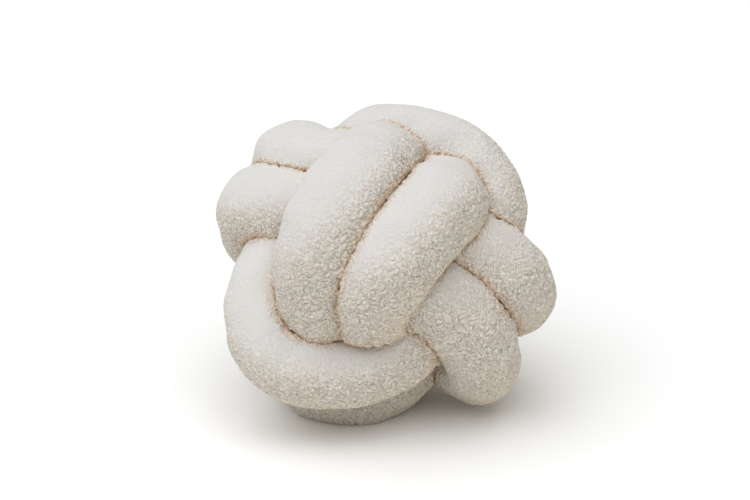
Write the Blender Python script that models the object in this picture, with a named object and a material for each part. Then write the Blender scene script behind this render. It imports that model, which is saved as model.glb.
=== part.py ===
"""A knot cushion: one long stuffed fabric tube, tied into a ball.

The tube makes six turns, two side by side in each of three bands that cross at right angles. Each band
passes over the next one at two opposite sides of the ball, and under the one before it at two others.
Inside the ball, where nothing shows, the turns run on into each other, so that they are one closed tube.
The tube swells until it meets its neighbours or the floor, so its section is round only where it is free.
Lengths are in metres and angles in degrees. The cushion stands on z = 0 and faces -Y.
"""

import math
from collections import namedtuple

import bpy
import numpy as np

# Driving dimensions.
TUBE_RADIUS = 0.0335  # of the stuffed tube where nothing presses on it
MOST_SWELL = 1.12  # how far a squeezed tube may bulge on its free side, times its radius
TURN_GAP = 0.0040  # left between neighbouring turns
CENTRE_HEIGHT = 0.140  # of the knot's centre above the floor
PAIR_OVER = 0.0325  # half the spacing of a band's two turns where they pass over
PAIR_UNDER = 0.0250  # the same where they pass under
SQUARENESS = 2.3  # exponent of a turn's oval: 2 is an ellipse, and more is squarer
SHOULDER = 9  # exponent of the change from a free side to a pressed one: more is sharper

# How the knot lies: its front looks this far up from level, and its front turns lean this far.
FACE_ELEVATION = 28.0
FACE_ROLL = 27.0

# How finely the shape is worked out.
ROUTE_STEP = 0.0045
RINGS_ALONG = 240
SIDES_ROUND = 20

# The six turns. band: 0 front, 1 flanks, 2 belt. side: which way from the middle of its band.
# reach and waist: half the turn's oval, where it passes over and where it passes under.
Turn = namedtuple("Turn", "name band side reach waist")
TURNS = (
    Turn("front_left", 0, -1, 0.112, 0.068),
    Turn("front_right", 0, 1, 0.112, 0.068),
    Turn("flank_lower", 1, -1, 0.114, 0.058),
    Turn("flank_upper", 1, 1, 0.114, 0.058),
    Turn("belt_far", 2, -1, 0.116, 0.058),
    Turn("belt_near", 2, 1, 0.116, 0.058),
)

# Where tying by hand has pushed a turn about: at an angle round the turn and over an arc of it, by so much
# outwards and sideways, and with so much more or less stuffing.
Nudge = namedtuple("Nudge", "turn at arc out side stuffing")
NUDGES = (
    Nudge("front_left", 303, 80, 0.009, 0.005, -0.06),
    Nudge("front_left", 345, 80, 0.000, -0.005, 0.00),
    Nudge("front_left", 10, 120, 0.000, -0.006, 0.07),
    Nudge("front_right", 318, 100, -0.011, -0.012, 0.11),
    Nudge("front_right", 345, 70, 0.000, -0.008, 0.03),
    Nudge("front_right", 0, 140, 0.002, -0.009, 0.04),
    Nudge("front_right", 38, 70, 0.000, 0.006, 0.00),
    Nudge("front_right", 212, 110, 0.021, 0.000, 0.00),
    Nudge("flank_lower", 160, 90, 0.003, 0.023, 0.00),
    Nudge("flank_lower", 125, 80, 0.000, 0.034, 0.00),
    Nudge("flank_lower", 352, 90, 0.0095, -0.0145, -0.03),
    Nudge("flank_lower", 338, 70, 0.000, -0.004, 0.00),
    Nudge("flank_lower", 45, 90, 0.014, 0.010, 0.01),
    Nudge("flank_upper", 0, 110, 0.007, -0.0135, 0.03),
    Nudge("flank_upper", 170, 80, -0.007, 0.005, 0.00),
    Nudge("flank_upper", 130, 60, 0.000, 0.016, 0.00),
    Nudge("flank_upper", 28, 70, 0.004, 0.004, 0.00),
    Nudge("belt_near", 1, 86, -0.0255, 0.000, 0.00),
    Nudge("belt_near", 45, 70, 0.017, 0.000, 0.00),
    Nudge("belt_near", 217, 100, 0.027, 0.000, 0.00),
    Nudge("belt_near", 165, 80, -0.002, 0.000, -0.10),
    Nudge("belt_near", 190, 90, 0.000, 0.011, 0.00),
    Nudge("belt_near", 12, 60, 0.008, 0.000, 0.00),
    Nudge("belt_near", 160, 90, 0.000, 0.006, 0.00),
    Nudge("belt_far", 350, 80, -0.016, 0.000, 0.00),
    Nudge("belt_far", 175, 110, 0.008, 0.004, 0.00),
    Nudge("belt_far", 142, 70, 0.006, 0.000, 0.00),
)

# Where one turn runs on into another, deep inside: the angles round the two turns.
Join = namedtuple("Join", "first first_at second second_at")
JOINS = (
    Join("front_left", 233, "flank_lower", 245),
    Join("flank_lower", 307, "belt_far", 115),
    Join("belt_far", 307, "front_right", 65),
    Join("front_right", 127, "flank_upper", 295),
    Join("flank_upper", 233, "belt_near", 295),
)
JOIN_REACH = 0.055  # how far along the tube a join's corner is rounded
JOIN_PASSES = 100  # how often it is averaged
CLOSEST_PASS = 0.025  # between the middles of two strands, however hard the knot is pulled
CORE_RADIUS = 0.070  # strands this near the knot's centre give way to each other in full
SHELL_RADIUS = 0.098  # and from here out not at all
PASSES_APART = 60

CLOTH_COLOUR = (0.79, 0.755, 0.70, 1.0)
CLOTH_ROUGHNESS = 0.95


def knot_axes():
    """Rows: which way the front, the right flank and the crown of the knot look, in the world."""
    rise = math.radians(FACE_ELEVATION)
    roll = math.radians(FACE_ROLL)
    front = np.array([0, -math.cos(rise), math.sin(rise)])
    level = np.array([1.0, 0, 0])
    upward = np.cross(front, level)
    flank = level * math.cos(roll) - upward * math.sin(roll)
    crown = level * math.sin(roll) + upward * math.cos(roll)
    return np.array([front, flank, crown])


def apart(angles, at):
    """How far angles are from one of them, round the circle."""
    return np.abs((angles - at + 180) % 360 - 180)


def turn_route(turn):
    """(points, stuffing, angles) round one turn: an oval in its band's plane, moved to one side of it."""
    count = 4 * round(math.pi * (turn.reach + turn.waist) / ROUTE_STEP / 4)
    angles = np.arange(count) * 360 / count
    c = np.cos(np.radians(angles))
    s = np.sin(np.radians(angles))
    oval = np.abs(c / turn.reach) ** SQUARENESS + np.abs(s / turn.waist) ** SQUARENESS
    out = oval ** (-1 / SQUARENESS)
    side = turn.side * (PAIR_OVER * c**2 + PAIR_UNDER * s**2)
    stuffing = np.ones(count)
    for nudge in NUDGES:
        if nudge.turn == turn.name:
            away = apart(angles, nudge.at) / nudge.arc
            share = np.where(away < 0.5, 0.5 + 0.5 * np.cos(2 * np.pi * away), 0.0)
            out = out + nudge.out * share
            side = side + nudge.side * share
            stuffing = stuffing + nudge.stuffing * share
    axes = knot_axes()
    long_axis, side_axis, narrow_axis = (axes[(turn.band + k) % 3] for k in range(3))
    points = np.outer(out * c, long_axis) + np.outer(side, side_axis) + np.outer(out * s, narrow_axis)
    return points + [0, 0, CENTRE_HEIGHT], stuffing, angles


def linked_route():
    """(points, stuffing, which are join ends) along the closed tube: each turn run on into the next."""
    routes = [turn_route(turn) for turn in TURNS]
    points = np.concatenate([route[0] for route in routes])
    stuffing = np.concatenate([route[1] for route in routes])
    angles = {turn.name: route[2] for turn, route in zip(TURNS, routes)}
    first = {}
    after = []
    for name, along in angles.items():
        first[name] = len(after)
        after.extend(first[name] + (np.arange(len(along)) + 1) % len(along))
    ends = []
    for join in JOINS:
        i = first[join.first] + int(apart(angles[join.first], join.first_at).argmin())
        j = first[join.second] + int(apart(angles[join.second], join.second_at).argmin())
        after[i], after[j] = after[j], after[i]
        ends += [i, j]
    order = [0]
    while after[order[-1]] != 0:
        order.append(after[order[-1]])
    return points[order], stuffing[order], np.isin(order, ends)


def eased(points, join_ends):
    """The closed route with the corners at its joins rounded off."""
    count = len(points)
    steps = JOIN_REACH / ROUTE_STEP
    near = np.zeros(count)
    for i in np.flatnonzero(join_ends):
        away = np.abs((np.arange(count) - i - 0.5 + count / 2) % count - count / 2)
        near = np.maximum(near, np.clip(1 - away / steps, 0, 1))
    weight = (0.5 * near**2 * (3 - 2 * near))[:, None]
    for _ in range(JOIN_PASSES):
        middle = (np.roll(points, 1, 0) + np.roll(points, -1, 0)) / 2
        points = points + weight * (middle - points)
    return points


def kept_apart(points):
    """The closed route with its strands pushed apart wherever two of them pass too close."""
    count = len(points)
    steps = np.arange(count)
    same_strand = np.abs((steps[:, None] - steps + count / 2) % count - count / 2) * ROUTE_STEP < 0.09
    for _ in range(PASSES_APART):
        depth = np.linalg.norm(points - [0, 0, CENTRE_HEIGHT], axis=1)
        give = np.clip((SHELL_RADIUS - depth) / (SHELL_RADIUS - CORE_RADIUS), 0, 1)
        away = points[:, None] - points
        distance = np.where(same_strand, 1.0, np.linalg.norm(away, axis=2))
        nearest = distance.argmin(axis=1)
        least = distance[steps, nearest]
        short = np.clip(CLOSEST_PASS - least, 0, None)
        points = points + averaged(away[steps, nearest] * (give * short / least / 2)[:, None], 3)
    return points


def evenly_spaced(points, values, count):
    """(points, values, length) of a closed path again, at this many even steps along it."""
    closed = np.vstack([points, points[:1]])
    along = np.concatenate([[0], np.cumsum(np.linalg.norm(np.diff(closed, axis=0), axis=1))])
    at = np.arange(count) * along[-1] / count
    places = np.stack([np.interp(at, along, closed[:, k]) for k in range(3)], axis=1)
    return places, np.interp(at, along, np.append(values, values[0])), along[-1]


def averaged(values, width):
    """Values round a closed loop, each averaged with its neighbours under a bell this many steps wide."""
    steps = np.arange(-math.ceil(3 * width), math.ceil(3 * width) + 1)
    weights = np.exp(-0.5 * (steps / width) ** 2)
    weights /= weights.sum()
    return sum(weight * np.roll(values, step, axis=0) for weight, step in zip(weights, steps))


def side_directions(path, sides):
    """Rays out of each place of a closed path, square to it, that turn with it as little as they can."""
    tangents = np.roll(path, -1, 0) - np.roll(path, 1, 0)
    tangents /= np.linalg.norm(tangents, axis=1)[:, None]
    normal = np.cross(tangents[0], [0.3, 0.5, 0.8])
    carried = [normal / np.linalg.norm(normal)]
    for tangent in [*tangents[1:], tangents[0]]:
        normal = carried[-1] - tangent * (carried[-1] @ tangent)
        carried.append(normal / np.linalg.norm(normal))
    last = carried.pop()
    normals = np.array(carried)
    binormals = np.cross(tangents, normals)
    # Carried once round, the first ray comes back turned: that much is taken out evenly along the way.
    turned = math.atan2(np.cross(last, normals[0]) @ tangents[0], last @ normals[0])
    angles = np.arange(len(path))[:, None] * turned / len(path) + np.arange(sides) * 2 * np.pi / sides
    return normals[:, None] * np.cos(angles)[:, :, None] + binormals[:, None] * np.sin(angles)[:, :, None]


def room_to_swell(path, route, rays):
    """How far the tube can swell along each ray before it meets another turn, or its own bend.

    A point belongs to the place on the route it is nearest to, so a ray's limit is where it meets the
    plane midway to any other place on the route.
    """
    limits = np.empty(rays.shape[:2])
    along = np.arange(len(route)) / len(route)
    for i, place in enumerate(path):
        others = np.abs((along - i / len(path) + 0.5) % 1 - 0.5) > 2.5 / len(route)
        away = route[others] - place
        square = (away**2).sum(axis=1)
        facing = rays[i] @ away.T
        limits[i] = np.where(facing > 1e-9, square / np.maximum(2 * facing, 1e-9), 1.0).min(axis=1)
    return limits - np.minimum(TURN_GAP / 2, 0.3 * limits)


def stuffed_radii(limits, stuffing, step):
    """The tube's radius along each ray: round where free, and fuller there when other sides are pressed."""
    least = TUBE_RADIUS * stuffing
    free = least
    for _ in range(8):
        radii = (free[:, None] ** -SHOULDER + limits**-SHOULDER) ** (-1 / SHOULDER)
        free = free * least / np.sqrt((radii**2).mean(axis=1))
        free = averaged(np.clip(free, least, least * MOST_SWELL), 0.012 / step)
    return (free[:, None] ** -SHOULDER + limits**-SHOULDER) ** (-1 / SHOULDER)


def tube_skin(rings, sides):
    """Points of the tube's skin, an array of rings by sides by 3, with the knot over the origin."""
    points, stuffing, join_ends = linked_route()
    points = kept_apart(eased(points, join_ends))
    path, stuffing, length = evenly_spaced(points, stuffing, rings)
    route, _, _ = evenly_spaced(points, np.zeros(len(points)), round(length / ROUTE_STEP))
    rays = side_directions(path, sides)
    radii = stuffed_radii(room_to_swell(path, route, rays), stuffing, length / rings)
    # The floor flattens whatever would reach below it.
    radii = np.minimum(radii, path[:, 2:] / np.maximum(-rays[:, :, 2], 1e-9))
    skin = path[:, None] + rays * radii[:, :, None]
    middle = (skin.min(axis=(0, 1)) + skin.max(axis=(0, 1))) / 2
    return skin - [middle[0], middle[1], 0]


def grid_faces(rings, sides):
    """Corners of the faces of a grid that closes both ways, with their outsides out."""
    i, j = np.meshgrid(np.arange(rings), np.arange(sides), indexing="ij")
    ahead = (i + 1) % rings
    beside = (j + 1) % sides
    corners = [i * sides + beside, ahead * sides + beside, ahead * sides + j, i * sides + j]
    return np.stack([corner.ravel() for corner in corners], axis=1)


def cloth():
    """The cushion's cream cloth."""
    material = bpy.data.materials.new("cream_cloth")
    material.use_nodes = True
    shader = material.node_tree.nodes["Principled BSDF"]
    shader.inputs["Base Color"].default_value = CLOTH_COLOUR
    shader.inputs["Roughness"].default_value = CLOTH_ROUGHNESS
    shader.inputs["Metallic"].default_value = 0.0
    return material


def main():
    for old in list(bpy.data.objects):
        bpy.data.objects.remove(old)
    skin = tube_skin(RINGS_ALONG, SIDES_ROUND)
    mesh = bpy.data.meshes.new("stuffed_tube")
    mesh.from_pydata(skin.reshape(-1, 3).tolist(), [], grid_faces(RINGS_ALONG, SIDES_ROUND).tolist())
    mesh.shade_smooth()
    mesh.materials.append(cloth())
    cushion = bpy.data.objects.new("stuffed_tube", mesh)
    bpy.context.scene.collection.objects.link(cushion)


if __name__ == "__main__":
    main()
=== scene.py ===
# %% [markdown]
# # A knot cushion in curly fleece
# The real cushion is one fabric tube, three and a half metres long or a little more, filled with fibre and
# tied by hand into a ball, with its ends sewn together inside. Everything that shows is the curly side of the
# fleece. This lesson builds it in four steps: the way the tube takes through the knot, the swelling of the
# stuffed tube until its turns press on each other, the curls of the pile, and the finish of the cloth.

# %% Load the frame
import math
from collections import namedtuple

import bpy
import numpy as np
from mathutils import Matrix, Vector


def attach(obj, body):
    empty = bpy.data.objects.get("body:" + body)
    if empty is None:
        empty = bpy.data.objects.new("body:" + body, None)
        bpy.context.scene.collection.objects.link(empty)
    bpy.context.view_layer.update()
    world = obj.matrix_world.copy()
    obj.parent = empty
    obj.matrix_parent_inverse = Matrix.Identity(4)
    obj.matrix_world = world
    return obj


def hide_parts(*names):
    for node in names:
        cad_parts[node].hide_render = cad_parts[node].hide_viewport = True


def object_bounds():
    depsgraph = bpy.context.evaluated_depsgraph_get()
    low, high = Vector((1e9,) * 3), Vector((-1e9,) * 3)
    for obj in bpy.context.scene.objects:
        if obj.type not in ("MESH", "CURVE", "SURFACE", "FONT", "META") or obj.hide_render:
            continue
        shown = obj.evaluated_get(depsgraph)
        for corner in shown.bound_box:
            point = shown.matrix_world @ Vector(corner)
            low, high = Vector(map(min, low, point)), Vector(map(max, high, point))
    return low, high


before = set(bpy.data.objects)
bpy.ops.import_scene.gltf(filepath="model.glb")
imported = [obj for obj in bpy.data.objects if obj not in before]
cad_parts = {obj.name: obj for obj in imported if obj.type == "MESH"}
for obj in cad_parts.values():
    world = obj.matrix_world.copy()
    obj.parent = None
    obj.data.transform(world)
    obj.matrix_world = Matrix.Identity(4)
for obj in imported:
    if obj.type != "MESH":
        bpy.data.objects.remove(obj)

frame_low, frame_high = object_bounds()
FRAME_MIDDLE = (np.array(frame_low) + np.array(frame_high)) / 2

# %% [markdown]
# ## The camera
# The cushion is looked at from a little above, with a long lens so that the near turns aren't swollen by
# perspective. The camera comes first because the light is judged through it.

# %% Camera
CENTRE_HEIGHT = 0.140  # of the knot's centre above what it stands on
KNOT_CENTRE = np.array([FRAME_MIDDLE[0], FRAME_MIDDLE[1], CENTRE_HEIGHT])
CAMERA_HEIGHT_ANGLE = math.radians(20)
CAMERA_DISTANCE = 1.5725
AIM_RIGHT = -0.0089  # the camera aims this far right of the knot's centre
AIM_UP = 0.0044  # and this far above it

look_back = np.array([0, -math.cos(CAMERA_HEIGHT_ANGLE), math.sin(CAMERA_HEIGHT_ANGLE)])
look_up = np.cross(look_back, [1, 0, 0])
aim = KNOT_CENTRE + AIM_RIGHT * np.array([1, 0, 0]) + AIM_UP * look_up
lens = bpy.data.cameras.new("camera")
lens.lens = 85
lens.sensor_width = 36
camera = bpy.data.objects.new("camera", lens)
bpy.context.scene.collection.objects.link(camera)
camera.location = aim + look_back * CAMERA_DISTANCE
camera.rotation_euler = (math.pi / 2 - CAMERA_HEIGHT_ANGLE, 0, 0)
bpy.context.scene.camera = camera
print("camera at", [round(c, 3) for c in camera.location])

# %% [markdown]
# ## The way through the knot
# The knot is a sailor's fist: three bands of two turns each, square to each other. Every band passes over
# the next one on two opposite sides of the ball and under the one before it on the other two. A turn is an
# oval, long where it passes over and short where it dives under. Drawing it as a formula with a table of
# nudges keeps the order of a knot and the unevenness of hands; tracing it point by point would lose the
# first, and the bare formula would lose the second.

# %% Sizes of the knot
TUBE_RADIUS = 0.0335  # where nothing presses on the tube
MOST_SWELL = 1.12  # how far a squeezed tube may bulge on its free side, times its radius
TURN_GAP = 0.0004  # left between turns, for their pile to fill
PAIR_OVER = 0.0325  # half the spacing of a band's two turns where they pass over
PAIR_UNDER = 0.0250  # and where they pass under
SQUARENESS = 2.3  # exponent of a turn's oval: 2 is an ellipse, and more is squarer
SHOULDER = 36  # exponent of the change from a free side to a pressed one
ROUTE_STEP = 0.0045  # spacing of the points along a turn
FACE_ELEVATION = math.radians(28)  # the front of the knot looks this far up
FACE_ROLL = math.radians(27)  # and its front turns lean this far

Turn = namedtuple("Turn", "name band side reach waist")
TURNS = (
    Turn("front_left", 0, -1, 0.112, 0.068),
    Turn("front_right", 0, 1, 0.112, 0.068),
    Turn("flank_lower", 1, -1, 0.114, 0.058),
    Turn("flank_upper", 1, 1, 0.114, 0.058),
    Turn("belt_far", 2, -1, 0.116, 0.058),
    Turn("belt_near", 2, 1, 0.116, 0.058),
)

# A nudge is at an angle of its turn and covers an arc of it, both in degrees. Its stuffing is a share.
Nudge = namedtuple("Nudge", "turn at arc out side stuffing")
NUDGES = (
    Nudge("front_left", 303, 80, 0.012, 0.005, -0.07),
    Nudge("front_left", 345, 80, 0.000, -0.005, 0.00),
    Nudge("front_left", 10, 120, 0.000, -0.006, 0.07),
    Nudge("front_right", 318, 100, -0.011, -0.012, 0.11),
    Nudge("front_right", 345, 70, 0.000, -0.008, 0.03),
    Nudge("front_right", 0, 140, 0.002, -0.009, 0.04),
    Nudge("front_right", 38, 70, 0.000, 0.006, 0.00),
    Nudge("front_right", 212, 110, 0.021, 0.000, 0.00),
    Nudge("flank_lower", 160, 90, 0.003, 0.023, 0.00),
    Nudge("flank_lower", 125, 80, 0.000, 0.034, 0.00),
    Nudge("flank_lower", 352, 90, 0.0095, -0.0145, -0.03),
    Nudge("flank_lower", 338, 70, 0.000, -0.004, 0.00),
    Nudge("flank_lower", 45, 90, 0.014, 0.010, 0.01),
    Nudge("flank_upper", 0, 110, 0.007, -0.0135, 0.03),
    Nudge("flank_upper", 170, 80, -0.007, 0.005, 0.00),
    Nudge("flank_upper", 130, 60, 0.000, 0.016, 0.00),
    Nudge("flank_upper", 28, 70, 0.004, 0.004, 0.00),
    Nudge("belt_near", 1, 86, -0.0255, 0.000, 0.00),
    Nudge("belt_near", 45, 70, 0.017, 0.000, 0.00),
    Nudge("belt_near", 217, 100, 0.027, 0.000, 0.00),
    Nudge("belt_near", 165, 80, -0.002, 0.000, -0.10),
    Nudge("belt_near", 190, 90, 0.000, 0.011, 0.00),
    Nudge("belt_near", 12, 60, 0.008, 0.000, 0.00),
    Nudge("belt_near", 160, 90, 0.000, 0.006, 0.00),
    Nudge("belt_far", 350, 80, -0.016, 0.000, 0.00),
    Nudge("belt_far", 175, 110, 0.008, 0.004, 0.00),
    Nudge("belt_far", 142, 70, 0.006, 0.000, 0.00),
)


# %% One turn
def knot_axes():
    """Rows: which way the front, the right flank and the crown of the knot look."""
    front = np.array([0, -math.cos(FACE_ELEVATION), math.sin(FACE_ELEVATION)])
    level = np.array([1.0, 0, 0])
    upward = np.cross(front, level)
    flank = level * math.cos(FACE_ROLL) - upward * math.sin(FACE_ROLL)
    crown = level * math.sin(FACE_ROLL) + upward * math.cos(FACE_ROLL)
    return np.array([front, flank, crown])


def apart(angles, at):
    """How far angles are from one of them, round the circle."""
    return np.abs((angles - at + 180) % 360 - 180)


def turn_route(turn):
    """Points, stuffing and angles round one turn.

    The oval is |x / reach|^k + |y / waist|^k = 1 in the band's plane, moved to one side of it. A nudge adds
    half a cosine wave outwards, sideways or to the stuffing, over its arc.
    """
    count = 4 * round(math.pi * (turn.reach + turn.waist) / ROUTE_STEP / 4)
    angles = np.arange(count) * 360 / count
    c = np.cos(np.radians(angles))
    s = np.sin(np.radians(angles))
    oval = np.abs(c / turn.reach) ** SQUARENESS + np.abs(s / turn.waist) ** SQUARENESS
    out = oval ** (-1 / SQUARENESS)
    side = turn.side * (PAIR_OVER * c**2 + PAIR_UNDER * s**2)
    stuffing = np.ones(count)
    for nudge in NUDGES:
        if nudge.turn == turn.name:
            away = apart(angles, nudge.at) / nudge.arc
            share = np.where(away < 0.5, 0.5 + 0.5 * np.cos(2 * np.pi * away), 0.0)
            out = out + nudge.out * share
            side = side + nudge.side * share
            stuffing = stuffing + nudge.stuffing * share
    axes = knot_axes()
    long_axis, side_axis, narrow_axis = (axes[(turn.band + k) % 3] for k in range(3))
    points = np.outer(out * c, long_axis) + np.outer(side, side_axis) + np.outer(out * s, narrow_axis)
    return points + [0, 0, CENTRE_HEIGHT], stuffing, angles


print("axes of the knot", knot_axes().round(3).tolist())

# %% [markdown]
# ## One tube from six turns
# A closed turn can't be tied: the real tube leaves each turn inside the ball and runs on into the next one.
# Where two turns pass close to each other, swapping what follows them joins two rings into one. The corner
# this leaves is rounded off, and strands that then pass too close to each other are pushed apart, deep in
# the ball only, where the real ones are squeezed hardest and nothing shows.

# %% Joins between turns
Join = namedtuple("Join", "first first_at second second_at")
JOINS = (
    Join("front_left", 233, "flank_lower", 245),
    Join("flank_lower", 307, "belt_far", 115),
    Join("belt_far", 307, "front_right", 65),
    Join("front_right", 127, "flank_upper", 295),
    Join("flank_upper", 233, "belt_near", 295),
)
JOIN_REACH = 0.055  # how far to both sides of a join its corner is rounded
JOIN_PASSES = 100
SAME_STRAND = 0.09  # places nearer than this along the tube don't push each other
CLOSEST_PASS = 0.025  # strands nearer than this are pushed apart
CORE_RADIUS = 0.070  # fully within this distance of the knot's centre
SHELL_RADIUS = 0.098  # and not at all beyond this one
PASSES_APART = 60


def linked_route():
    """Points, stuffing and join ends along the closed tube, following each turn into the next."""
    routes = [turn_route(turn) for turn in TURNS]
    points = np.concatenate([route[0] for route in routes])
    stuffing = np.concatenate([route[1] for route in routes])
    angles = {turn.name: route[2] for turn, route in zip(TURNS, routes)}
    first = {}
    after = []
    for name, along in angles.items():
        first[name] = len(after)
        after.extend(first[name] + (np.arange(len(along)) + 1) % len(along))
    ends = []
    for join in JOINS:
        i = first[join.first] + int(apart(angles[join.first], join.first_at).argmin())
        j = first[join.second] + int(apart(angles[join.second], join.second_at).argmin())
        after[i], after[j] = after[j], after[i]
        ends += [i, j]
    order = [0]
    while after[order[-1]] != 0:
        order.append(after[order[-1]])
    return points[order], stuffing[order], np.isin(order, ends)


def eased(points, join_ends):
    """The route with its join corners rounded: each place moves towards the middle of its neighbours."""
    count = len(points)
    near = np.zeros(count)
    for i in np.flatnonzero(join_ends):
        away = np.abs((np.arange(count) - i - 0.5 + count / 2) % count - count / 2)
        near = np.maximum(near, np.clip(1 - away * ROUTE_STEP / JOIN_REACH, 0, 1))
    weight = (0.5 * near**2 * (3 - 2 * near))[:, None]
    for _ in range(JOIN_PASSES):
        middle = (np.roll(points, 1, 0) + np.roll(points, -1, 0)) / 2
        points = points + weight * (middle - points)
    return points


def averaged(values, width):
    """Values round a closed loop, each averaged with its neighbours under a bell this many steps wide."""
    steps = np.arange(-math.ceil(3 * width), math.ceil(3 * width) + 1)
    weights = np.exp(-0.5 * (steps / width) ** 2)
    weights /= weights.sum()
    return sum(weight * np.roll(values, step, axis=0) for weight, step in zip(weights, steps))


def kept_apart(points):
    """The route with its deep strands pushed away from the nearest place of another strand."""
    count = len(points)
    steps = np.arange(count)
    steps_apart = np.abs((steps[:, None] - steps + count / 2) % count - count / 2)
    same_strand = steps_apart * ROUTE_STEP < SAME_STRAND
    for _ in range(PASSES_APART):
        depth = np.linalg.norm(points - [0, 0, CENTRE_HEIGHT], axis=1)
        give = np.clip((SHELL_RADIUS - depth) / (SHELL_RADIUS - CORE_RADIUS), 0, 1)
        away = points[:, None] - points
        distance = np.where(same_strand, 1.0, np.linalg.norm(away, axis=2))
        nearest = distance.argmin(axis=1)
        least = distance[steps, nearest]
        short = np.clip(CLOSEST_PASS - least, 0, None)
        points = points + averaged(away[steps, nearest] * (give * short / least / 2)[:, None], 3)
    return points


def evenly_spaced(points, values, count):
    """Points, values and length of a closed path again, at this many even steps along it."""
    closed = np.vstack([points, points[:1]])
    along = np.concatenate([[0], np.cumsum(np.linalg.norm(np.diff(closed, axis=0), axis=1))])
    at = np.arange(count) * along[-1] / count
    places = np.stack([np.interp(at, along, closed[:, k]) for k in range(3)], axis=1)
    return places, np.interp(at, along, np.append(values, values[0])), along[-1]


turns_linked, stuffing_linked, join_ends = linked_route()
tube_middle = kept_apart(eased(turns_linked, join_ends))
_, _, TUBE_LENGTH = evenly_spaced(tube_middle, stuffing_linked, 1000)
print("length of the tube", round(TUBE_LENGTH, 3))

# %% [markdown]
# ## Swelling until the turns meet
# Stuffing pushes the fabric out until it meets the next turn. A cloth simulation of a tube that touches
# itself nearly all over is slow work, with tight folds that have to be kept apart, but the rest it would
# come to has a simple rule: two equally soft turns meet halfway. So a ray leaving the tube's middle stops at
# the plane midway to any other place on the tube. Where nothing stops it, the section is round, and a little
# fuller because what is pressed in on one side comes out on the other.

# %% The swollen tube
RINGS_ROUGH = 1220
SIDES_ROUND_ROUGH = 96
RINGS_AT_ONCE = 122
RAY_END = 1.0  # a ray that meets nothing is cut off here, far outside the cushion
NEIGHBOURS = 2.5  # places of the route this near a ring, in steps, don't stop its rays
GAP_SHARE = 0.3  # half the gap never takes more than this share of a ray
SWELL_PASSES = 8
SWELL_EVENED = 0.012  # the swelling is averaged under a bell this wide along the tube
FIRST_RAY = (0.3, 0.5, 0.8)  # any direction that the tube's start doesn't run in


def side_directions(path, sides):
    """Rays square to a closed path, carried along it with as little turning as possible."""
    tangents = np.roll(path, -1, 0) - np.roll(path, 1, 0)
    tangents /= np.linalg.norm(tangents, axis=1)[:, None]
    normal = np.cross(tangents[0], FIRST_RAY)
    carried = [normal / np.linalg.norm(normal)]
    for tangent in [*tangents[1:], tangents[0]]:
        normal = carried[-1] - tangent * (carried[-1] @ tangent)
        carried.append(normal / np.linalg.norm(normal))
    last = carried.pop()
    normals = np.array(carried)
    binormals = np.cross(tangents, normals)
    # Carried once round, the first ray comes back turned: that much is taken out evenly along the way.
    turned = math.atan2(np.cross(last, normals[0]) @ tangents[0], last @ normals[0])
    angles = np.arange(len(path))[:, None] * turned / len(path) + np.arange(sides) * 2 * np.pi / sides
    return normals[:, None] * np.cos(angles)[:, :, None] + binormals[:, None] * np.sin(angles)[:, :, None]


def room_to_swell(path, route, rays):
    """How far each ray runs before it is as near to another place of the route as to its own.

    With d the way to that place and r the ray's direction, that is |d|^2 / (2 r.d).
    """
    along = np.arange(len(route)) / len(route)
    limits = []
    for first in range(0, len(path), RINGS_AT_ONCE):
        some = slice(first, first + RINGS_AT_ONCE)
        away = route - path[some, None]
        square = (away**2).sum(axis=2)
        rings = np.arange(len(path))[some, None] / len(path)
        others = np.abs((along - rings + 0.5) % 1 - 0.5) > NEIGHBOURS / len(route)
        facing = rays[some] @ away.transpose(0, 2, 1)
        meets = (facing > 1e-9) & others[:, None]
        runs = square[:, None] / np.maximum(2 * facing, 1e-9)
        limits.append(np.where(meets, runs, RAY_END).min(axis=2))
    limits = np.concatenate(limits)
    return limits - np.minimum(TURN_GAP / 2, GAP_SHARE * limits)


def soft_least(free, limits):
    """The smaller of two lengths, with a rounded change over: (a^-k + b^-k)^(-1/k)."""
    return (free[:, None] ** -SHOULDER + limits**-SHOULDER) ** (-1 / SHOULDER)


def stuffed_radii(limits, stuffing, step):
    """The tube's radius along each ray, fuller on its free side where its other sides are pressed.

    Each pass multiplies the free radius by what it should be over the root mean square of all the rays, so
    that a section keeps its area as far as MOST_SWELL allows. step is the spacing of the rings.
    """
    least = TUBE_RADIUS * stuffing
    free = least
    for _ in range(SWELL_PASSES):
        radii = soft_least(free, limits)
        free = free * least / np.sqrt((radii**2).mean(axis=1))
        free = averaged(np.clip(free, least, least * MOST_SWELL), SWELL_EVENED / step)
    return soft_least(free, limits)


path, stuffing, _ = evenly_spaced(averaged(tube_middle, 1.0), stuffing_linked, RINGS_ROUGH)
route, _, _ = evenly_spaced(tube_middle, stuffing_linked, round(TUBE_LENGTH / ROUTE_STEP))
rays = side_directions(path, SIDES_ROUND_ROUGH)
limits = room_to_swell(path, route, rays)
radii = stuffed_radii(limits, stuffing, TUBE_LENGTH / RINGS_ROUGH)
on_floor = path[:, 2:] / np.maximum(-rays[:, :, 2], 1e-9)
rough_skin = path[:, None] + rays * np.minimum(radii, on_floor)[:, :, None]
rough_room = limits - radii
middle = (rough_skin.min(axis=(0, 1)) + rough_skin.max(axis=(0, 1))) / 2
rough_skin += [FRAME_MIDDLE[0] - middle[0], FRAME_MIDDLE[1] - middle[1], 0]
rough_low = rough_skin.min(axis=(0, 1))
rough_high = rough_skin.max(axis=(0, 1))
print("swollen tube", rough_low.round(4), rough_high.round(4))

# %% [markdown]
# ## Where the cover shows
# The curls need a fine mesh, but half of the cover is deep inside the ball. How far a place lies below the
# ball's outer envelope says whether it can be seen, and the rings and sides of the fine mesh are then spaced
# closely where it shows and widely where it doesn't.

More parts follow.
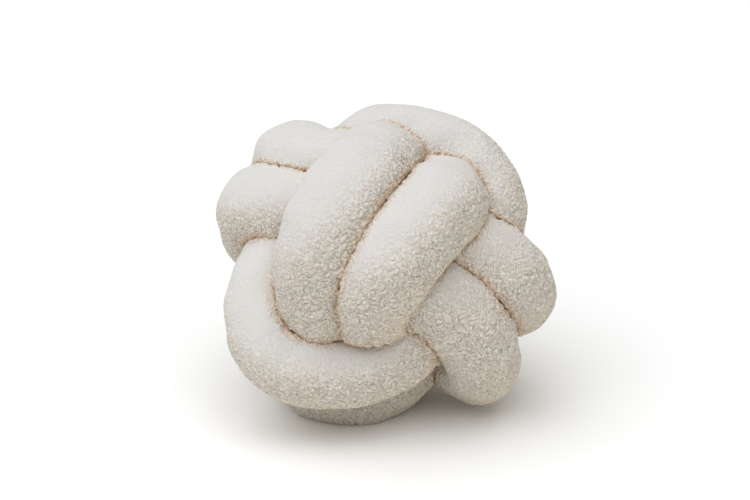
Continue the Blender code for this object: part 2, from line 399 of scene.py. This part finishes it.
# %% How deep each place lies
LATITUDES = 48
LONGITUDES = 96
SHOWS_TO = 0.028  # all that lies less deep than this shows
HIDDEN_FROM = 0.050  # nothing that lies deeper than this does


def envelope_depth(points):
    """How far each point lies below the farthest point in its own direction from the knot's centre."""
    away = points - KNOT_CENTRE
    distance = np.linalg.norm(away, axis=-1)
    row = np.clip((away[..., 2] / distance + 1) / 2 * LATITUDES, 0, LATITUDES - 1).astype(int)
    column = ((np.arctan2(away[..., 1], away[..., 0]) / (2 * np.pi)) % 1 * LONGITUDES).astype(int)
    farthest = np.zeros((LATITUDES, LONGITUDES))
    np.maximum.at(farthest, (row.ravel(), column.ravel()), distance.ravel())
    return farthest[row, column] - distance


def eased_step(values, low, high):
    """0 below low, 1 above high, and 3x^2 - 2x^3 between."""
    share = np.clip((values - low) / (high - low), 0, 1)
    return share**2 * (3 - 2 * share)


rough_depth = envelope_depth(rough_skin)
rough_shows = 1 - eased_step(rough_depth, SHOWS_TO, HIDDEN_FROM)
print("share of the cover that shows", round(float(rough_shows.mean()), 3))

# %% The fine mesh's rings and sides
RINGS = 3360
SIDES = 140
HIDDEN_SPACING = 6.0  # how much wider than elsewhere the mesh may be where nothing shows
OUTSIDE = 0.02  # what lies less deep than this is measured for the mesh's spacing


def spaced_by(density, count):
    """Places, in steps of the density's own grid, that split its running total into equal parts."""
    total = np.concatenate([[0], np.cumsum(density)])
    return np.interp(np.arange(count) / count * total[-1], total, np.arange(len(total)))


def taps(places, count):
    """Indices and weights of the four neighbours of each place, for a smooth curve through closed values."""
    base = np.floor(places).astype(int)
    x = places - base
    weights = np.stack([
        -0.5 * x + x**2 - 0.5 * x**3,
        1 - 2.5 * x**2 + 1.5 * x**3,
        0.5 * x + 2 * x**2 - 1.5 * x**3,
        -0.5 * x**2 + 0.5 * x**3,
    ])
    return (base + np.arange(-1, 3).reshape(-1, *[1] * base.ndim)) % count, weights


def along_tube(values, rings_at):
    """Values on the rough grid, again at these places along it."""
    rows, weights = taps(rings_at, len(values))
    shape = (-1, *[1] * (values.ndim - 1))
    return sum(weights[k].reshape(shape) * values[rows[k]] for k in range(4))


def round_tube(values, sides_at):
    """Values whose sides are the rough grid's, again at each ring's own places round it."""
    columns, weights = taps(sides_at, values.shape[1])
    rings = np.arange(len(values))[:, None]
    extra = (*[1] * (values.ndim - 2),)
    shape = (*sides_at.shape, *extra)
    return sum(weights[k].reshape(shape) * values[rings, columns[k]] for k in range(4))


sparse = 1 / HIDDEN_SPACING
ring_density = averaged(np.maximum(rough_shows.mean(axis=1) * 2, sparse).clip(0, 1), 4)
rings_at = spaced_by(ring_density, RINGS)
shows_along = along_tube(averaged(rough_shows, 3), rings_at)
side_density = averaged(shows_along.T, 2).T.clip(0, 1) + sparse
side_total = np.concatenate([np.zeros((RINGS, 1)), np.cumsum(side_density, axis=1)], axis=1)
# Every ring starts from the same side, so that a column of the mesh runs straight along the tube.
sides_at = np.stack([
    np.interp(np.arange(SIDES) / SIDES * total[-1], total, np.arange(len(total))) for total in side_total
])
skin = round_tube(along_tube(rough_skin, rings_at), sides_at)
room = round_tube(along_tube(rough_room, rings_at), sides_at)
depth = round_tube(along_tube(rough_depth, rings_at), sides_at)
steps_along = np.linalg.norm(np.roll(skin, -1, 0) - skin, axis=2)[depth < OUTSIDE]
steps_round = np.linalg.norm(np.roll(skin, -1, 1) - skin, axis=2)[depth < OUTSIDE]
print("mesh spacing where it shows", steps_along.mean().round(5), steps_round.mean().round(5))

# %% [markdown]
# ## Curls
# Curly fleece has a deep pile whose fibres clump into short, winding ridges two to four millimetres wide,
# with narrow pits between them. A sum of many waves of one length, running in every direction, winds in just
# that way, and its size without its sign gives round ridges that meet in narrow pits. Particles or hair
# would need millions of strands for the same look. The ridges are in the mesh, so that they also shape the
# outline, and the finer curls inside them are left to the finish.
#
# Handling brushes the pile down on the upper side of the cushion. It stays open lower down and in the
# creases. Where two turns press together it stands up in tufts and reaches a little way into the pile of
# the other turn, so that a crease is a soft line and not a slit.

# %% Curls of the pile
PILE_WAVE = 0.0055  # two ridges and the pits beside them
PILE_HEIGHT = 0.0016  # from a pit's floor to a ridge's top
RIDGE_FULL = 1.3  # the wave sum's size at which a ridge is full
RIDGE_POWER = 0.6  # less than 1 makes ridges rounder and pits narrower
PILE_BELOW = 0.62  # share of the pile's height that lies below the tube's skin
WANDER_WAVE = 3.1 * PILE_WAVE  # bends that make the ridges wind
WANDER = 0.16 * PILE_WAVE
LUMP_WAVE = 0.034  # the unevenness of the stuffing
LUMP_HEIGHT = 0.0006
TUFT_WAVE = 0.0095  # tufts that stand out where two turns press together
TUFT_HEIGHT = 0.0005
PILE_MESH = 0.0011  # how far the pile of a turn may reach past the middle of the gap
PRESSED_WITHIN = 0.008  # a place with less room than this is in a crease
SHELTERED_WITHIN = 0.018  # and with less than this, beside one
# These also set how far into the creases the finish paints the lit side's colour.
REACH_FROM = 0.001  # a brush doesn't reach a place with less room than this
REACH_FULLY = 0.013  # and reaches it fully with more than this
BRUSHED_AND_LIT_IN_CREASE = 0.5  # how much brushing a place out of reach still gets
# Brushing comes from this side, and the finish paints the side facing it lit and the side turned away warmer.
BRUSHED_AND_LIT_FROM = np.array([-0.35, -0.30, 0.90])  # from above, and a little from the left and the front
BRUSHED_DOWN = 0.80  # how much of the pile's height brushing takes away
WANDER_SEEDS = (11, 12, 13)
PILE_SEED = 14
LUMP_SEED = 15
TUFT_SEED = 16
WAVES = 48
WAVES_AT_ONCE = 8


def wave_sum(points, wavelength, seed):
    """Waves of one length in all directions, added up: sqrt(2/n) * sum of cos(k.p + phase)."""
    draw = np.random.default_rng(seed)
    directions = draw.normal(size=(WAVES, 3))
    directions *= 2 * np.pi / wavelength / np.linalg.norm(directions, axis=1)[:, None]
    phases = draw.uniform(0, 2 * np.pi, WAVES)
    total = np.zeros(points.shape[:-1])
    for first in range(0, WAVES, WAVES_AT_ONCE):
        some = slice(first, first + WAVES_AT_ONCE)
        total += np.cos(points @ directions[some].T + phases[some]).sum(axis=-1)
    return total * math.sqrt(2 / WAVES)


def surface_normals(grid):
    """Normals of a grid that closes on itself both ways: the cross product of its two directions."""
    along = np.roll(grid, -1, 0) - np.roll(grid, 1, 0)
    around = np.roll(grid, -1, 1) - np.roll(grid, 1, 1)
    normals = np.cross(around, along)
    return normals / np.maximum(np.linalg.norm(normals, axis=2), 1e-12)[:, :, None]


normals = surface_normals(skin)
outward = float((normals * (skin - skin.mean(axis=1)[:, None])).sum(axis=2).mean())
normals *= np.sign(outward)
# Each of these is 0 where it doesn't hold and 1 where it holds fully.
facing_up = normals @ (BRUSHED_AND_LIT_FROM / np.linalg.norm(BRUSHED_AND_LIT_FROM))
out_of_reach = 1 - eased_step(room, REACH_FROM, REACH_FULLY)
# Brushed-down pile in the mesh, and painted light in the finish: greyer tips with less painted pit shade.
brushed_and_lit = eased_step(facing_up, 0.10, 0.90) * (1 - (1 - BRUSHED_AND_LIT_IN_CREASE) * out_of_reach)
# Painted warm bounce light: the finish paints the side turned from the lamp creamier.
under = eased_step(-facing_up, 0.05, 0.90)
# Where turns press, the mesh gets tufts and the finish paints brown crease shade.
pressed = 1 - eased_step(room, 0.0, PRESSED_WITHIN)
# Painted shade beside the creases, used only in the finish's colour.
sheltered_shade = 1 - eased_step(room, 0.0, SHELTERED_WITHIN)
wander = np.stack([wave_sum(skin, WANDER_WAVE, seed) for seed in WANDER_SEEDS], axis=-1)
ridges = np.abs(wave_sum(skin + WANDER * wander, PILE_WAVE, PILE_SEED))
pile = np.clip(ridges / RIDGE_FULL, 0, 1) ** RIDGE_POWER
lumps = LUMP_HEIGHT * wave_sum(skin, LUMP_WAVE, LUMP_SEED)
lumps += TUFT_HEIGHT * pressed * wave_sum(skin, TUFT_WAVE, TUFT_SEED)
height = PILE_HEIGHT * (1 - BRUSHED_DOWN * brushed_and_lit * (1 - pressed))
# The pile of one turn reaches a little way into the next one's, and nothing sinks into the floor.
most_lift = np.maximum(room, 0) + TURN_GAP / 2 + PILE_MESH
lift = np.minimum(height * (pile - PILE_BELOW * (1 - pressed)) + lumps, most_lift)
cover = skin + normals * lift[:, :, None]
cover[:, :, 2] = np.maximum(cover[:, :, 2], 0)
print("normals point outwards" if outward > 0 else "normals point inwards", round(outward, 4))
print("pile and lumps, lowest and highest", float(lift.min()), float(lift.max()))

# %% [markdown]
# ## The cover as meshes
# The cover is cut into six lengths, so that no mesh grows too big to handle, and every length is closed at
# its ends. Each cut is where the tube lies deepest nearby, though most of them still come up to the surface
# on one side. So every length keeps the normals of the whole tube, and the shading runs on over the cuts.
# Each one gets a map of its own that follows the grid, which keeps its ridges sharp when the finish is baked.

# %% Where to cut
LENGTHS = 6
CUT_MAY_MOVE = 9  # a cut moves at most a length's share of rings over this


def deepest_rings(depth, count):
    """Rings near equal shares of the tube, each moved to the place nearby where it lies deepest."""
    buried = averaged(depth.min(axis=1), 4)
    reach = len(depth) // count // CUT_MAY_MOVE
    cuts = []
    for k in range(count):
        nearby = (k * len(depth) // count + np.arange(-reach, reach + 1)) % len(depth)
        cuts.append(int(nearby[buried[nearby].argmax()]))
    return sorted(cuts)


cuts = deepest_rings(depth, LENGTHS)
print("cuts at rings", cuts, "depth there", depth.min(axis=1)[cuts].round(3).tolist())

# %% One length of the cover
MAP_NAME = "OFBake"
MAP_ROWS = 3
MAP_MARGIN = 0.004


def length_of_cover(name, rings, facing, values):
    """A closed mesh from rings of a tube, with a fan of triangles to a middle point at both ends.

    facing is the whole tube's normal at each place, so that the shading runs on over a cut. values are named
    numbers, one for each place, kept as attributes of the mesh.
    """
    rows, sides = rings.shape[:2]
    i = np.arange(rows - 1)[:, None] * sides
    j = np.arange(sides)
    after = (j + 1) % sides
    quads = np.stack([i + j, i + after, i + sides + after, i + sides + j], axis=2).reshape(-1, 4)
    start, end = rows * sides, rows * sides + 1
    last = (rows - 1) * sides
    start_fan = np.stack([np.full(sides, start), after, j], axis=1)
    end_fan = np.stack([np.full(sides, end), last + j, last + after], axis=1)
    places = np.vstack([rings.reshape(-1, 3), rings[0].mean(axis=0), rings[-1].mean(axis=0)])
    mesh = bpy.data.meshes.new(name)
    mesh.vertices.add(len(places))
    mesh.vertices.foreach_set("co", places.ravel())
    corners = np.concatenate([quads.ravel(), start_fan.ravel(), end_fan.ravel()])
    sizes = np.concatenate([np.full(len(quads), 4), np.full(2 * sides, 3)])
    mesh.loops.add(len(corners))
    mesh.loops.foreach_set("vertex_index", corners)
    mesh.polygons.add(len(sizes))
    mesh.polygons.foreach_set("loop_start", np.cumsum(sizes) - sizes)
    mesh.update(calc_edges=True)
    mesh.shade_smooth()
    for label, numbers in values.items():
        attribute = mesh.attributes.new(label, "FLOAT", "POINT")
        end_numbers = [numbers[0].mean(), numbers[-1].mean()]
        attribute.data.foreach_set("value", np.append(numbers.ravel(), end_numbers))
    ways_out = [(rings[a] - rings[b]).mean(axis=0) for a, b in ((0, 1), (-1, -2))]
    end_normals = [way / np.linalg.norm(way) for way in ways_out]
    mesh.normals_split_custom_set_from_vertices(np.vstack([facing.reshape(-1, 3), end_normals]))
    mesh.uv_layers.new(name=MAP_NAME).uv.foreach_set("vector", grid_map(rows, sides).ravel())
    return mesh


def grid_map(rows, sides):
    """Places of every face corner on a square map: the grid cut into strips that lie above each other."""
    per_strip = math.ceil((rows - 1) / MAP_ROWS)
    i = np.arange(rows - 1)[:, None]
    j = np.arange(sides)[None, :]
    strip = i // per_strip
    height = (1 - MAP_MARGIN) / MAP_ROWS
    left = (i - strip * per_strip) / per_strip * (1 - 2 * MAP_MARGIN) + MAP_MARGIN + 0 * j
    right = left + (1 - 2 * MAP_MARGIN) / per_strip
    low = MAP_MARGIN + strip * height + j / sides * (height - MAP_MARGIN)
    high = low + (height - MAP_MARGIN) / sides
    quads = np.stack([left, low, left, high, right, high, right, low], axis=2).reshape(-1, 2)
    fans = np.stack([0 * j, high[:1], 0 * j, high[:1], 0 * j, low[:1]], axis=2).reshape(-1, 2)
    return np.vstack([quads, fans, fans + [1 - MAP_MARGIN, 0]])


cover_normals = surface_normals(cover) * np.sign(outward)
COVER_VALUES = {
    "ridge": pile,
    "pressed": pressed,
    "sheltered_shade": sheltered_shade,
    "brushed_and_lit": brushed_and_lit,
    "under": under,
}
pieces = []
for k, first in enumerate(cuts):
    count = (cuts[(k + 1) % LENGTHS] - first) % RINGS + 1
    rings = (first + np.arange(count)) % RINGS
    name = f"knot_cover_{k + 1}"
    values = {label: numbers[rings] for label, numbers in COVER_VALUES.items()}
    mesh = length_of_cover(name, cover[rings], cover_normals[rings], values)
    piece = bpy.data.objects.new(name, mesh)
    bpy.context.scene.collection.objects.link(piece)
    pieces.append(piece)
    print(name, "triangles", len(mesh.loops) - 2 * len(mesh.polygons))

# %% [markdown]
# ## The finish of the fleece
# The wool-like polyester is a warm off-white. Much of the colour on top of that is painted light: painted
# shade makes the pits and the creases between turns browner than the tips, and a wider band beside each
# crease too.
# The upper side is brushed smoother, and the finish paints it greyer where it faces the lamp, with weaker
# painted pit shade; the side turned from the lamp is painted lighter and warmer, and creamier still as warm
# bounced light.
# The finer curls inside the ridges are a cell pattern with wandering borders, and the strands among them are
# noise folded at its middle value, which gives thin winding lines. Both lift the surface where they are full
# and get painted shade along their borders, so that colour and relief agree.

# %% Shader maths in Python
class Socket:
    """A shader socket that takes part in sums and products by adding Math nodes."""

    def __init__(self, tree, socket):
        self.tree = tree
        self.socket = socket

    def math(self, operation, *values):
        return self.tree.node("ShaderNodeMath", {"operation": operation}, list(values))

    def __add__(self, other):
        return self.math("ADD", self, other)

    __radd__ = __add__

    def __sub__(self, other):
        return self.math("SUBTRACT", self, other)

    def __rsub__(self, other):
        return self.math("SUBTRACT", other, self)

    def __mul__(self, other):
        return self.math("MULTIPLY", self, other)

    __rmul__ = __mul__

    def ramped(self, low, high):
        """0 below low, 1 above high, and smooth between."""
        settings = {"interpolation_type": "SMOOTHSTEP", "clamp": True}
        return self.tree.node("ShaderNodeMapRange", settings, {0: self, 1: low, 2: high, 3: 0, 4: 1})


class Tree:
    """A material's nodes."""

    def __init__(self, name):
        self.material = bpy.data.materials.new(name)
        self.material.use_nodes = True
        self.nodes = self.material.node_tree.nodes
        self.links = self.material.node_tree.links
        self.nodes.clear()

    def node(self, kind, settings=None, inputs=None, output=0):
        """Adds a node, sets what it is, then its sockets by values or links, and gives one output."""
        made = self.nodes.new(kind)
        for name, value in (settings or {}).items():
            setattr(made, name, value)
        given = inputs.items() if isinstance(inputs, dict) else enumerate(inputs or [])
        for key, value in given:
            if isinstance(value, Socket):
                self.links.new(value.socket, made.inputs[key])
            else:
                made.inputs[key].default_value = value
        return Socket(self, made.outputs[output]) if made.outputs else made

    def mixed(self, share, first, second):
        """One colour going over to another as share goes from 0 to 1."""
        return self.node("ShaderNodeMix", {"data_type": "RGBA"}, {0: share, 6: first, 7: second}, 2)


# %% Curly fleece
# Tips painted by which way they face: greyer facing the lamp, lighter and warmer away, creamier as bounce.
TIP_LIT_SIDE = (0.655, 0.634, 0.608, 1)
TIP_SHADE_SIDE = (0.850, 0.795, 0.710, 1)
TIP_WARM_BOUNCE = (0.970, 0.855, 0.665, 1)
# Painted shade: in the pits, in a wider band beside each crease, and browner in the crease itself.
PIT_SHADE = (0.390, 0.310, 0.215, 1)
SHELTERED_SHADE = (0.640, 0.470, 0.300, 1)
CREASE_SHADE = (0.560, 0.340, 0.170, 1)
CURL_SIZE = 0.0024
WINDING_SIZE = 0.0035
FIBRE_SIZE = 1 / 1100


def curly_fleece():
    """Off-white curls with painted shade in warm pits and browner creases, smoother where brushing reaches.
    """
    t = Tree("curly_fleece")
    place = t.node("ShaderNodeTexCoord", output="Object")
    ridge, pressed, sheltered_shade, brushed_and_lit, under = (
        t.node("ShaderNodeAttribute", {"attribute_name": label}, output="Fac") for label in COVER_VALUES
    )

    # Where the curls, the strands and the fibres are
    drifting = {"Vector": place, "Scale": 0.8 / CURL_SIZE, "Detail": 1}
    drift = t.node("ShaderNodeTexNoise", None, drifting, "Color")
    drifted = [drift, [CURL_SIZE * 0.9] * 3, place]
    spread = t.node("ShaderNodeVectorMath", {"operation": "MULTIPLY_ADD"}, drifted)
    cells = {"Vector": spread, "Scale": 1 / CURL_SIZE, "Smoothness": 0.35}
    border = t.node("ShaderNodeTexVoronoi", {"feature": "SMOOTH_F1"}, cells, "Distance")
    fine = {"Vector": place, "Scale": 1 / FIBRE_SIZE, "Detail": 2}
    fibres = t.node("ShaderNodeTexNoise", None, fine, "Fac")
    winding = {"Vector": spread, "Scale": 1 / WINDING_SIZE, "Detail": 0, "Distortion": 0.4}
    level = t.node("ShaderNodeTexNoise", None, winding, "Fac")
    strand = t.node("ShaderNodeMath", {"operation": "ABSOLUTE"}, [level - 0.5]).ramped(0.0, 0.09)
    curl = 1 - border.ramped(0.18, 0.72)
    # Painted shade in the pits between curls, strands and the mesh's ridges
    pit_shade = (1 - curl) * 0.4 + (1 - strand) * 0.35 + (1 - ridge.ramped(0.1, 0.8)) * 0.25

    # Colour: tips painted greyer facing the lamp and lighter, warmer and creamier turned from it, then
    # painted shade in the pits, then painted shade beside the neighbouring turn, then painted shade in the
    # crease itself
    # Painted pit shade is weak where the lamp falls and strong in shade and in the creases
    pit_shade_strength = 0.05 + 0.75 * (1 - brushed_and_lit) + 0.2 * pressed
    tip = t.mixed(under, t.mixed(brushed_and_lit, TIP_SHADE_SIDE, TIP_LIT_SIDE), TIP_WARM_BOUNCE)
    inside = t.mixed(pressed, PIT_SHADE, CREASE_SHADE)
    colour = t.mixed(pit_shade * pit_shade_strength, tip, inside)
    # Painted shade beside the neighbouring turn, weaker where lit
    colour = t.mixed(sheltered_shade * (1 - brushed_and_lit) * 0.2, colour, SHELTERED_SHADE)
    # Painted crease shade, mottled by the painted pit shade and weaker where lit
    colour = t.mixed(pressed * (0.2 + 0.6 * pit_shade) * (1 - 0.7 * brushed_and_lit), colour, CREASE_SHADE)

    # Relief, soft sheen and a little light under the surface
    height = (strand * 0.0008 + curl * 0.0008 + fibres * 0.0003) * (1 - 0.85 * brushed_and_lit)
    bump = t.node("ShaderNodeBump", None, {"Strength": 1.0, "Distance": 1.0, "Height": height}, "Normal")
    finish = {"Base Color": colour, "Roughness": 0.95, "Normal": bump, "Specular IOR Level": 0.15}
    finish |= {"Sheen Weight": 0.2, "Sheen Roughness": 0.6, "Sheen Tint": (1.0, 0.97, 0.93, 1)}
    finish |= {"Subsurface Weight": 0.4, "Subsurface Radius": (1.0, 0.6, 0.35), "Subsurface Scale": 0.004}
    shader = t.node("ShaderNodeBsdfPrincipled", None, finish)
    t.node("ShaderNodeOutputMaterial", None, {"Surface": shader})
    return t.material


fleece = curly_fleece()
for piece in pieces:
    piece.data.materials.append(fleece)
    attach(piece, "root")
    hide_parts("stuffed_tube")
print("pieces in curly fleece:", len(pieces))

# %% [markdown]
# ## Floor and light
# A white floor and a white surround, with one large soft lamp that stands nearly above the cushion, a little
# to the left and to the front. The tops of the turns are lit, and the shade is soft and deepest in the
# creases and below, towards the right.

# %% Floor
FLOOR_SIZE = 30.0
floor_mesh = bpy.data.meshes.new("floor")
half = FLOOR_SIZE / 2
floor_corners = [(-half, -half, 0), (half, -half, 0), (half, half, 0), (-half, half, 0)]
floor_mesh.from_pydata(floor_corners, [], [(0, 1, 2, 3)])
floor = bpy.data.objects.new("floor", floor_mesh)
bpy.context.scene.collection.objects.link(floor)
paint = Tree("floor_paint")
grain = paint.node("ShaderNodeTexNoise", None, {"Scale": 3.0, "Detail": 2}, "Fac")
shade = paint.mixed(grain, (0.945, 0.94, 0.925, 1), (0.965, 0.955, 0.94, 1))
paint_finish = {"Base Color": shade, "Roughness": 0.8, "Specular IOR Level": 0.1}
paint_shader = paint.node("ShaderNodeBsdfPrincipled", None, paint_finish)
paint.node("ShaderNodeOutputMaterial", None, {"Surface": paint_shader})
floor_mesh.materials.append(paint.material)
print("floor", FLOOR_SIZE, "m square")

# %% Light
SURROUND = 0.345  # brightness of what surrounds the cushion
SURROUND_COLOUR = (1.0, 0.98, 0.95, 1)
KEY_STRENGTH = 2.70
KEY_COLOUR = (0.94, 0.965, 1.0)
KEY_SOFTNESS = 75  # degrees across, as seen from the cushion
KEY_FROM = Vector((-0.17, -0.34, 0.93))

world = bpy.data.worlds.new("surround")
world.use_nodes = True
world.node_tree.nodes["Background"].inputs["Color"].default_value = SURROUND_COLOUR
world.node_tree.nodes["Background"].inputs["Strength"].default_value = SURROUND
bpy.context.scene.world = world
key = bpy.data.lights.new("key", "SUN")
key.energy = KEY_STRENGTH
key.angle = math.radians(KEY_SOFTNESS)
key.color = KEY_COLOUR
lamp = bpy.data.objects.new("key", key)
bpy.context.scene.collection.objects.link(lamp)
lamp.rotation_euler = KEY_FROM.to_track_quat("Z", "Y").to_euler()
bpy.context.scene.view_settings.view_transform = "Standard"
print("key from", list(KEY_FROM), "surround", SURROUND)
